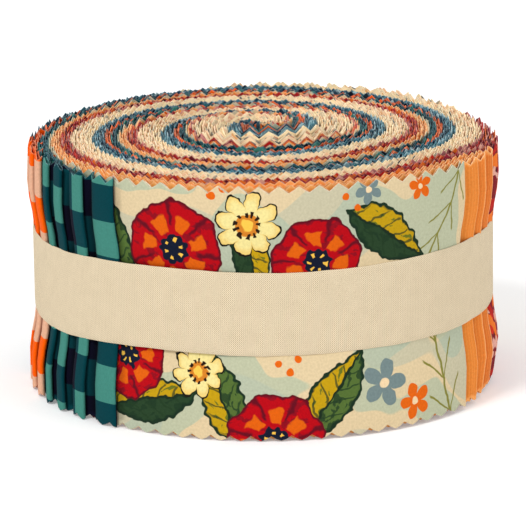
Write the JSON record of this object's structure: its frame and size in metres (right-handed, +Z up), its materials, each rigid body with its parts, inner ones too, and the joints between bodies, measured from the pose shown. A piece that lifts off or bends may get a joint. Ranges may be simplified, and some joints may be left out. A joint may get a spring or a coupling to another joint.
{
  "type": "fabric strip roll",
  "caption": "Roll of pinked quilting-cotton strips, wound in a spiral with folded ends lapped round the outside, held at mid height by a woven tape band.",
  "frame": {"origin": "centre of the roll's bounding box, on the flat underside that it stands on", "axes": "+Z up along the roll's axis; -Y is the front, where the outermost printed strip shows; the strips wind outward from the front towards +X"},
  "size_m": [0.1194, 0.1173, 0.0641],
  "materials": {
    "wound_cotton": "matt printed quilting cotton, cut edges of many colours",
    "floral_cotton": "matt quilting cotton with a floral print",
    "orange_cotton": "matt plain orange quilting cotton",
    "red_cotton": "matt plain dark red quilting cotton",
    "orange_check_cotton": "matt orange and peach checked cotton",
    "teal_check_cotton": "matt dark teal and sea green checked cotton",
    "band_cotton": "matt natural cotton tape, plain weave"
  },
  "bodies": {
    "root": {"wound_strips": "wound_cotton", "floral_end": "floral_cotton", "orange_end_1": "orange_cotton", "orange_end_2": "orange_cotton", "orange_end_3": "orange_cotton", "orange_end_4": "orange_cotton", "orange_end_5": "orange_cotton", "red_end_1": "red_cotton", "red_end_2": "red_cotton", "orange_check_end_1": "orange_check_cotton", "orange_check_end_2": "orange_check_cotton", "orange_check_end_3": "orange_check_cotton", "teal_check_end_1": "teal_check_cotton", "teal_check_end_2": "teal_check_cotton", "teal_check_end_3": "teal_check_cotton", "teal_check_end_4": "teal_check_cotton", "cotton_band": "band_cotton"}
  },
  "joints": []
}
